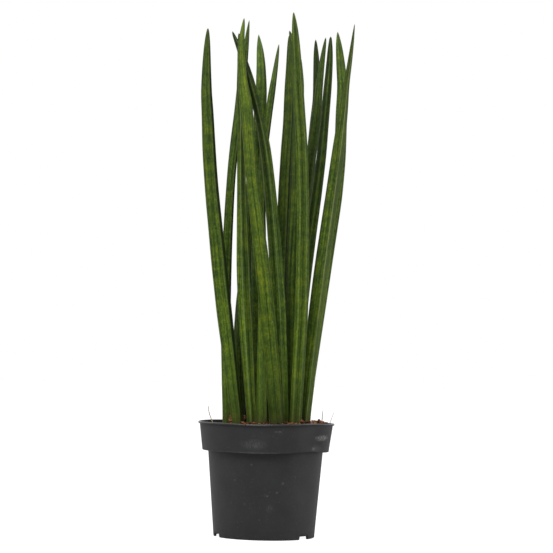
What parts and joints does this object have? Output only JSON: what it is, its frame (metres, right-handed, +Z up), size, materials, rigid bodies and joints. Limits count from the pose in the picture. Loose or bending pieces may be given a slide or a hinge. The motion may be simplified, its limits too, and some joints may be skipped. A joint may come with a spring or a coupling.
{
  "type": "potted cylindrical snake plant",
  "caption": "Tall cylindrical snake plant with round, ribbed, spear-shaped leaves, growing in soil in a black plastic nursery pot.",
  "frame": {"origin": "centre of the pot's underside, on the surface it stands on", "axes": "+Z up along the pot's axis, -Y towards the front of the plant, +X to the right seen from the front"},
  "size_m": [0.1902, 0.17, 0.652],
  "materials": {
    "pot": "matt black injection-moulded polypropylene, lightly scuffed",
    "soil": "coarse dry potting mix of bark crumbs and coir fibre",
    "leaf": "waxy succulent leaf, satin, with fine streaks along it and soft cross bands"
  },
  "bodies": {
    "root": {"pot": "pot", "soil": "soil", "leaf_01": "leaf", "leaf_02": "leaf", "leaf_03": "leaf", "leaf_04": "leaf", "leaf_05": "leaf", "leaf_06": "leaf", "leaf_07": "leaf", "leaf_08": "leaf", "leaf_09": "leaf", "leaf_10": "leaf", "leaf_11": "leaf", "leaf_12": "leaf", "leaf_13": "leaf", "leaf_14": "leaf", "leaf_15": "leaf", "leaf_16": "leaf"}
  },
  "joints": []
}
